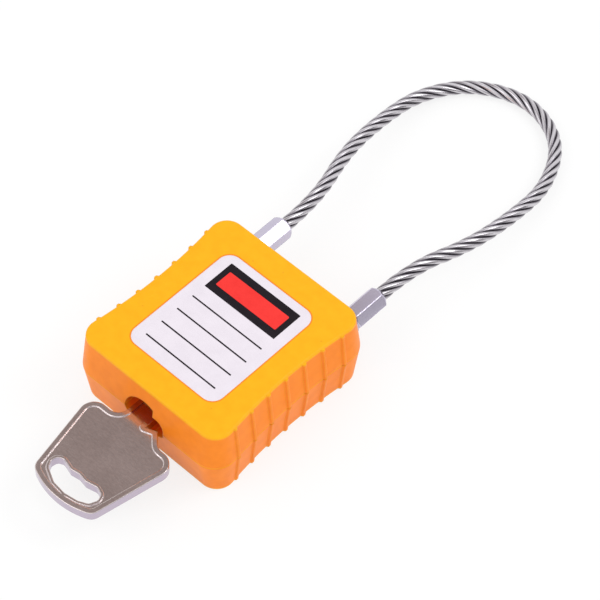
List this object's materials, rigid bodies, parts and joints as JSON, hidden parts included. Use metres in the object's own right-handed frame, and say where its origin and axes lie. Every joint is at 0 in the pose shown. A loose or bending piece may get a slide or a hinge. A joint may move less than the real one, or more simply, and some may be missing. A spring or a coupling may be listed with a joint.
{
  "type": "safety padlock",
  "caption": "Compact lockout padlock with a moulded casing, a wire-rope shackle on two crimped studs, a pin-tumbler cylinder and its key.",
  "frame": {"origin": "centre of the flat back face of the casing", "axes": "+X to the right of the front face, +Y towards the shackle, +Z out of the front face"},
  "size_m": [0.0439, 0.1523, 0.019],
  "materials": {
    "casing": "fine-textured moulded nylon",
    "label": "printed white vinyl",
    "rope": "bright drawn stainless wire",
    "stud": "bright turned and crimped steel",
    "key": "nickel-plated, finely brushed",
    "brass": "machined",
    "zinc": "die-cast zinc alloy",
    "steel": "ground steel"
  },
  "bodies": {
    "casing": {"front_shell": "casing", "back_shell": "casing", "front_label": "label", "dowel_pins": "steel", "lock_frame": "zinc", "cam_plate": "zinc", "frame_screws": "steel", "cylinder_housing": "brass", "driver_pins": "brass", "pin_springs": "steel", "chamber_cover": "brass", "shackle_spring": "steel"},
    "plug": {"cylinder_plug": "brass", "plug_clip": "steel", "key_pins": "brass", "locking_cam": "brass"},
    "key": {"key": "key"},
    "shackle": {"wire_rope": "rope", "heel_stud": "stud", "toe_stud": "stud"},
    "left_ball": {"left_locking_ball": "steel"},
    "right_ball": {"right_locking_ball": "steel"}
  },
  "joints": [
    {"name": "shackle_lift", "type": "slide", "parent": "casing", "child": "shackle", "axis": [0, 1, 0], "range_m": [0, 0.0115], "deforming": ["shackle_spring"]},
    {"name": "plug_turn", "type": "hinge", "parent": "casing", "child": "plug", "pos_m": [0, -0.019, 0.0095], "axis": [0, 1, 0], "range_deg": [0, 90]},
    {"name": "left_ball_slide", "type": "slide", "parent": "casing", "child": "left_ball", "axis": [1, 0, 0], "range_m": [0, 0.0014]},
    {"name": "right_ball_slide", "type": "slide", "parent": "casing", "child": "right_ball", "axis": [-1, 0, 0], "range_m": [0, 0.0014]},
    {"name": "key_slide", "type": "slide", "parent": "plug", "child": "key", "axis": [0, -1, 0], "range_m": [0, 0.03]}
  ],
  "couplings": [
    {"joint": "plug_turn", "follows": "shackle_lift", "rad_per_m": 136.59},
    {"joint": "left_ball_slide", "follows": "shackle_lift", "ratio": 0.12173},
    {"joint": "right_ball_slide", "follows": "shackle_lift", "ratio": 0.12173}
  ]
}
